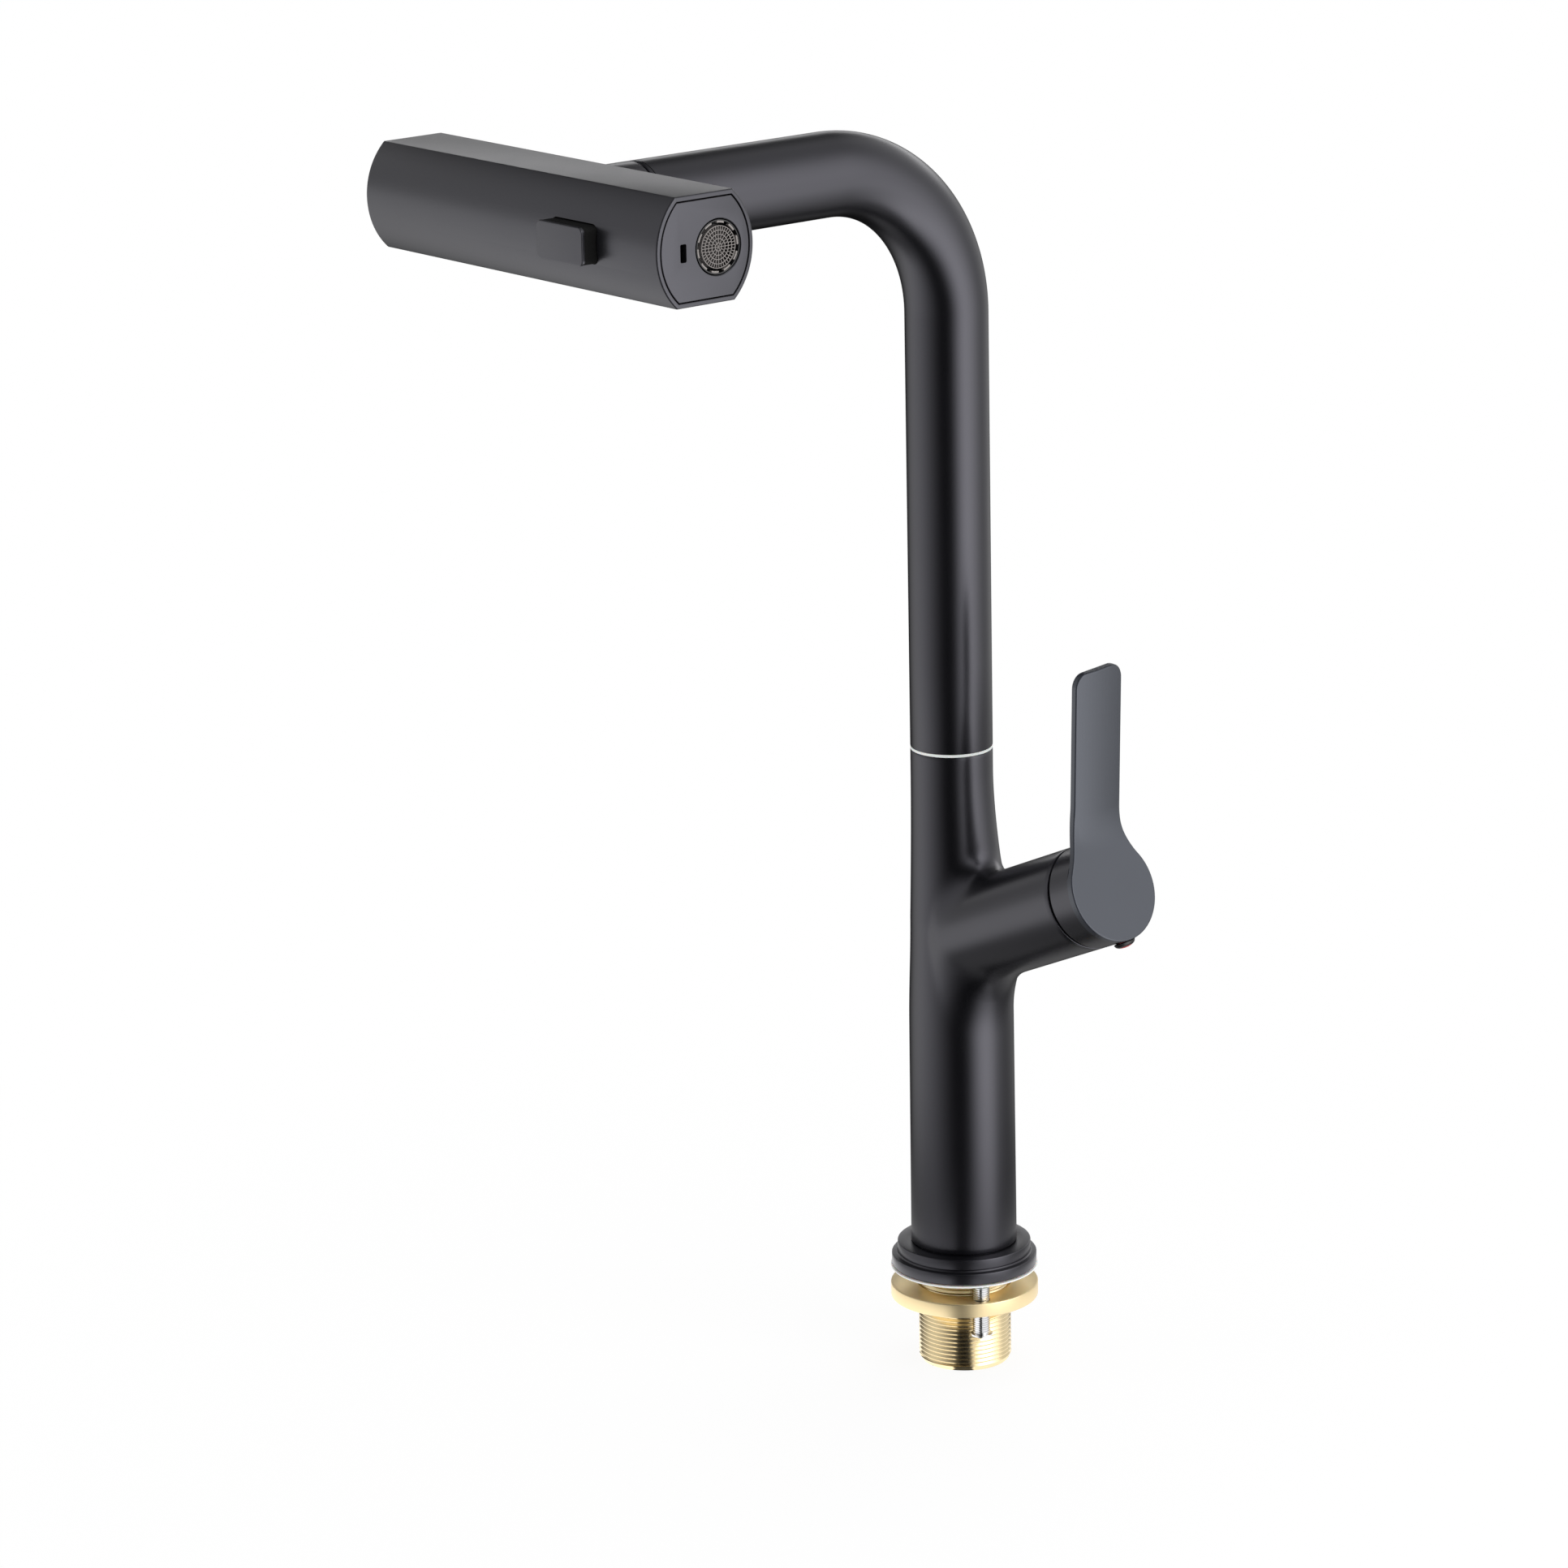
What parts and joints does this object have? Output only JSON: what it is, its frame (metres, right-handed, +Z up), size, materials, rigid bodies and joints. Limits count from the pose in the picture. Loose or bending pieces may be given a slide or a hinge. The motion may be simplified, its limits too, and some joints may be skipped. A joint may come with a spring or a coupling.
{
  "type": "pull-out kitchen faucet",
  "caption": "Tall single-lever kitchen faucet with a swivelling arched spout, a pull-out bar spray head, a side lever on an angled barrel, and its threaded shank and clamp nut.",
  "frame": {"origin": "on the column's axis where the gasket meets the top of the deck", "axes": "+Z up the column, -Y along the spout towards the user, +X on the lever's side"},
  "size_m": [0.1632, 0.2114, 0.438],
  "materials": {
    "black_coat": "satin black powder coat on metal",
    "head_coat": "satin charcoal coat",
    "lever_coat": "satin charcoal coat",
    "brass": "raw turned brass",
    "steel": "bright steel",
    "white_plastic": "natural white acetal",
    "black_plastic": "moulded black plastic",
    "grey_plastic": "moulded grey plastic",
    "clear_rubber": "milky translucent sealing ring",
    "black_rubber": "black rubber",
    "ceramic": "polished alumina ceramic",
    "grey_braid": "grey braided sleeve",
    "index_red": "small index button with a red centre"
  },
  "bodies": {
    "body": {"deck_gasket": "clear_rubber", "base_flange": "black_coat", "mounting_shank": "brass", "lock_nut": "brass", "clamp_screw_front": "steel", "clamp_screw_rear": "steel", "faucet_body": "black_coat", "hot_inlet": "brass", "cold_inlet": "brass", "mixed_outlet": "brass", "cartridge_seal": "black_rubber", "cartridge_housing": "white_plastic", "fixed_ceramic_disc": "ceramic", "cartridge_nut": "brass", "swivel_washer": "white_plastic", "swivel_stop_screw": "steel"},
    "spout": {"spout_tube": "black_coat", "swivel_sleeve": "brass", "sleeve_ring_upper": "black_rubber", "sleeve_ring_lower": "black_rubber", "sleeve_bearing": "white_plastic", "dock_bush": "black_plastic", "spray_hose": "grey_braid", "hose_connector": "brass"},
    "hose_end": {"hose_fitting": "brass", "hose_ferrule": "steel", "fitting_seal": "black_rubber"},
    "spray_head": {"head_shell": "head_coat", "outlet_end_plate": "head_coat", "closed_end_plate": "head_coat", "aerator_housing": "black_plastic", "aerator_core": "grey_plastic", "aerator_seal": "black_rubber", "docking_neck": "black_coat", "spigot_ring": "black_rubber", "waterway_block": "black_plastic", "check_valve": "white_plastic", "spray_plate": "black_rubber", "diverter_gland": "brass", "button_spring": "steel"},
    "button": {"spray_button": "head_coat", "diverter_spool": "grey_plastic"},
    "turret": {"cartridge_turret": "grey_plastic", "stem_pivot_pin": "steel"},
    "disc": {"sliding_ceramic_disc": "ceramic"},
    "handle": {"handle": "lever_coat", "cartridge_stem": "brass", "handle_grub_screw": "steel", "index_plug": "index_red"}
  },
  "joints": [
    {"name": "spout_swivel", "type": "hinge", "parent": "body", "child": "spout", "pos_m": [-0.00357, 0, 0.1848], "axis": [0, 0, 1], "continuous": true},
    {"name": "pull_out", "type": "slide", "parent": "spout", "child": "hose_end", "axis": [0, -1, 0], "range_m": [0, 0.45], "deforming": ["spray_hose"]},
    {"name": "head_swivel", "type": "hinge", "parent": "hose_end", "child": "spray_head", "pos_m": [-0.00357, -0.13, 0.3871], "axis": [0, -1, 0], "continuous": true},
    {"name": "button_push", "type": "slide", "parent": "spray_head", "child": "button", "axis": [0, 1, 0], "range_m": [0, 0.003], "stiffness_N_per_m": 900, "springref_m": -0.004, "deforming": ["button_spring"]},
    {"name": "temperature", "type": "hinge", "parent": "body", "child": "turret", "pos_m": [0.04758, 0, 0.13908], "axis": [0.915, 0, 0.4035], "range_deg": [-45, 45]},
    {"name": "flow", "type": "hinge", "parent": "turret", "child": "handle", "pos_m": [0.04758, 0, 0.13908], "axis": [0, 1, 0], "range_deg": [0, 22]},
    {"name": "disc_slide", "type": "slide", "parent": "turret", "child": "disc", "axis": [-0.4035, 0, 0.915], "range_m": [0, 0.0025]}
  ],
  "couplings": [
    {"joint": "disc_slide", "follows": "flow", "m_per_rad": 0.0062}
  ]
}
